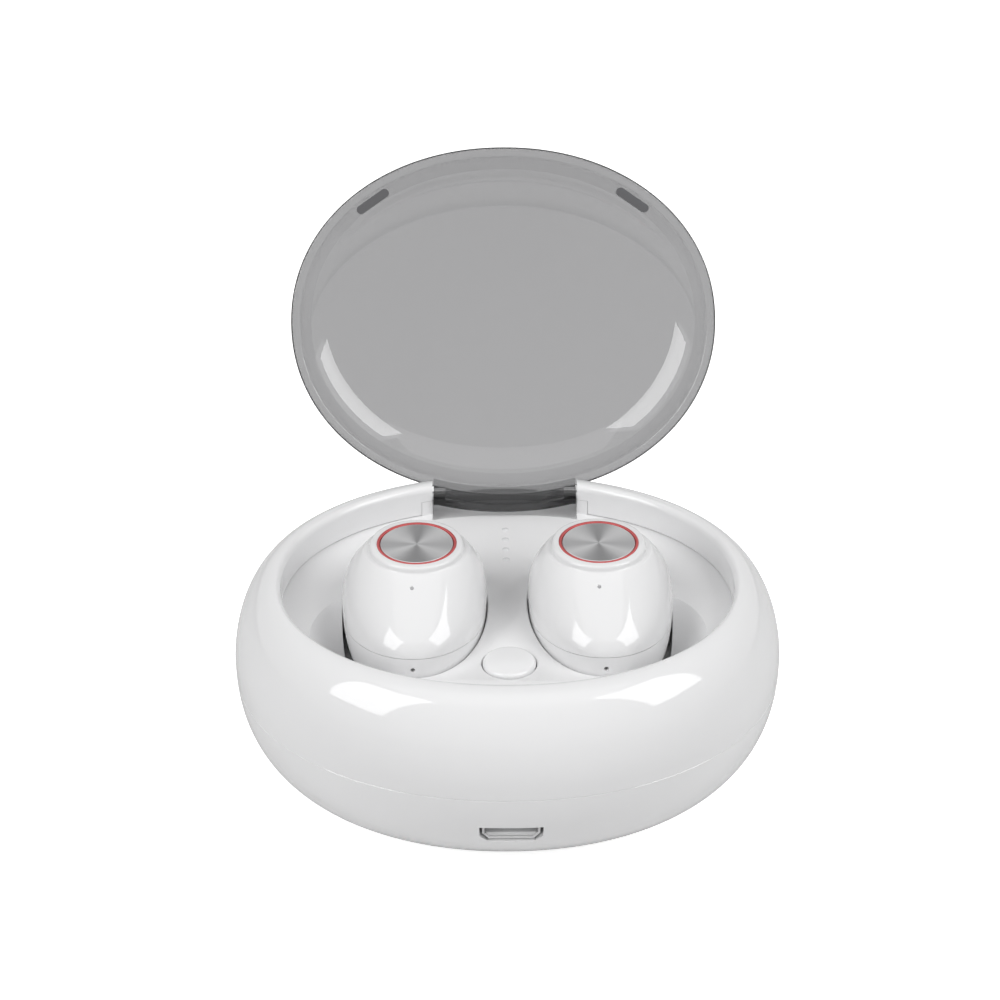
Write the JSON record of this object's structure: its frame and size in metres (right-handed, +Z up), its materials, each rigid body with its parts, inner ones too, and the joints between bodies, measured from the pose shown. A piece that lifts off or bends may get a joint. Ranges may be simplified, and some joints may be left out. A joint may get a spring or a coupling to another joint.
{
  "type": "wireless earbuds case",
  "caption": "Oval charging case with a hinged smoky lid, a tray with two pockets, and wireless earbuds that lift out.",
  "frame": {"origin": "centre of the flat underside", "axes": "+Z up, front with the charging socket and the button towards -Y, hinge at +Y, X across the width"},
  "size_m": [0.074, 0.084, 0.072],
  "materials": {
    "white_shell": "smooth glossy white",
    "tray_white": "satin white",
    "smoky_clear": "smoky, see-through, polished",
    "light_pipe": "milky",
    "board_green": "coated circuit board",
    "black_plastic": "moulded",
    "battery_foil": "foil pouch",
    "screw_steel": "plain",
    "bright_metal": "plated",
    "gold_contact": "gold plated",
    "red_ring": "coloured, satin",
    "spun_cap": "spun, fine rings",
    "silicone": "soft, milky",
    "dark_lens": "small dark window"
  },
  "bodies": {
    "case": {"bottom_shell": "white_shell", "upper_ring": "white_shell", "tray": "tray_white", "tray_screws": "screw_steel", "button_board": "board_green", "button_switch": "black_plastic", "charge_lights": "light_pipe", "light_board": "board_green", "light_chips": "light_pipe", "small_board_screws": "screw_steel", "main_board": "board_green", "main_board_screws": "screw_steel", "charge_controller": "black_plastic", "case_battery": "battery_foil", "usb_socket": "bright_metal", "contact_block_left": "black_plastic", "contact_block_right": "black_plastic", "tray_magnets": "bright_metal", "latch_magnets": "bright_metal"},
    "lid": {"lid_shell": "smoky_clear", "lid_magnets": "black_plastic", "hinge_pins": "screw_steel"},
    "case_button": {"case_button": "white_shell"},
    "left_earbud": {"left_upper_housing": "white_shell", "left_lower_housing": "white_shell", "left_cap_ring": "red_ring", "left_cap_switch": "black_plastic", "left_board": "board_green", "left_battery": "battery_foil", "left_driver": "black_plastic", "left_nozzle": "tray_white", "left_nozzle_mesh": "screw_steel", "left_ear_tip": "silicone", "left_contacts": "gold_contact", "left_magnet": "bright_metal", "left_microphone": "gold_contact", "left_status_light": "dark_lens"},
    "right_earbud": {"right_upper_housing": "white_shell", "right_lower_housing": "white_shell", "right_cap_ring": "red_ring", "right_cap_switch": "black_plastic", "right_board": "board_green", "right_battery": "battery_foil", "right_driver": "black_plastic", "right_nozzle": "tray_white", "right_nozzle_mesh": "screw_steel", "right_ear_tip": "silicone", "right_contacts": "gold_contact", "right_magnet": "bright_metal", "right_microphone": "gold_contact", "right_status_light": "dark_lens"},
    "left_cap": {"left_cap": "spun_cap"},
    "right_cap": {"right_cap": "spun_cap"},
    "contact_pin_left_inner": {"contact_pin_left_inner": "gold_contact"},
    "contact_pin_left_outer": {"contact_pin_left_outer": "gold_contact"},
    "contact_pin_right_inner": {"contact_pin_right_inner": "gold_contact"},
    "contact_pin_right_outer": {"contact_pin_right_outer": "gold_contact"}
  },
  "joints": [
    {"name": "lid_hinge", "type": "hinge", "parent": "case", "child": "lid", "pos_m": [0, 0.0247, 0.0277], "axis": [-1, 0, 0], "range_deg": [-115, 0]},
    {"name": "case_button_press", "type": "slide", "parent": "case", "child": "case_button", "axis": [0, 0, 1], "range_m": [-0.0004, 0], "stiffness_N_per_m": 600},
    {"name": "left_earbud_lift", "type": "slide", "parent": "case", "child": "left_earbud", "axis": [0, 0, 1], "range_m": [0, 0.035]},
    {"name": "right_earbud_lift", "type": "slide", "parent": "case", "child": "right_earbud", "axis": [0, 0, 1], "range_m": [0, 0.035]},
    {"name": "left_cap_press", "type": "slide", "parent": "left_earbud", "child": "left_cap", "axis": [0, 0, 1], "range_m": [-0.00025, 0], "stiffness_N_per_m": 600},
    {"name": "right_cap_press", "type": "slide", "parent": "right_earbud", "child": "right_cap", "axis": [0, 0, 1], "range_m": [-0.00025, 0], "stiffness_N_per_m": 600},
    {"name": "contact_pin_left_inner_press", "type": "slide", "parent": "case", "child": "contact_pin_left_inner", "axis": [0, 0, 1], "range_m": [-0.0004, 0], "stiffness_N_per_m": 300},
    {"name": "contact_pin_left_outer_press", "type": "slide", "parent": "case", "child": "contact_pin_left_outer", "axis": [0, 0, 1], "range_m": [-0.0004, 0], "stiffness_N_per_m": 300},
    {"name": "contact_pin_right_inner_press", "type": "slide", "parent": "case", "child": "contact_pin_right_inner", "axis": [0, 0, 1], "range_m": [-0.0004, 0], "stiffness_N_per_m": 300},
    {"name": "contact_pin_right_outer_press", "type": "slide", "parent": "case", "child": "contact_pin_right_outer", "axis": [0, 0, 1], "range_m": [-0.0004, 0], "stiffness_N_per_m": 300}
  ]
}
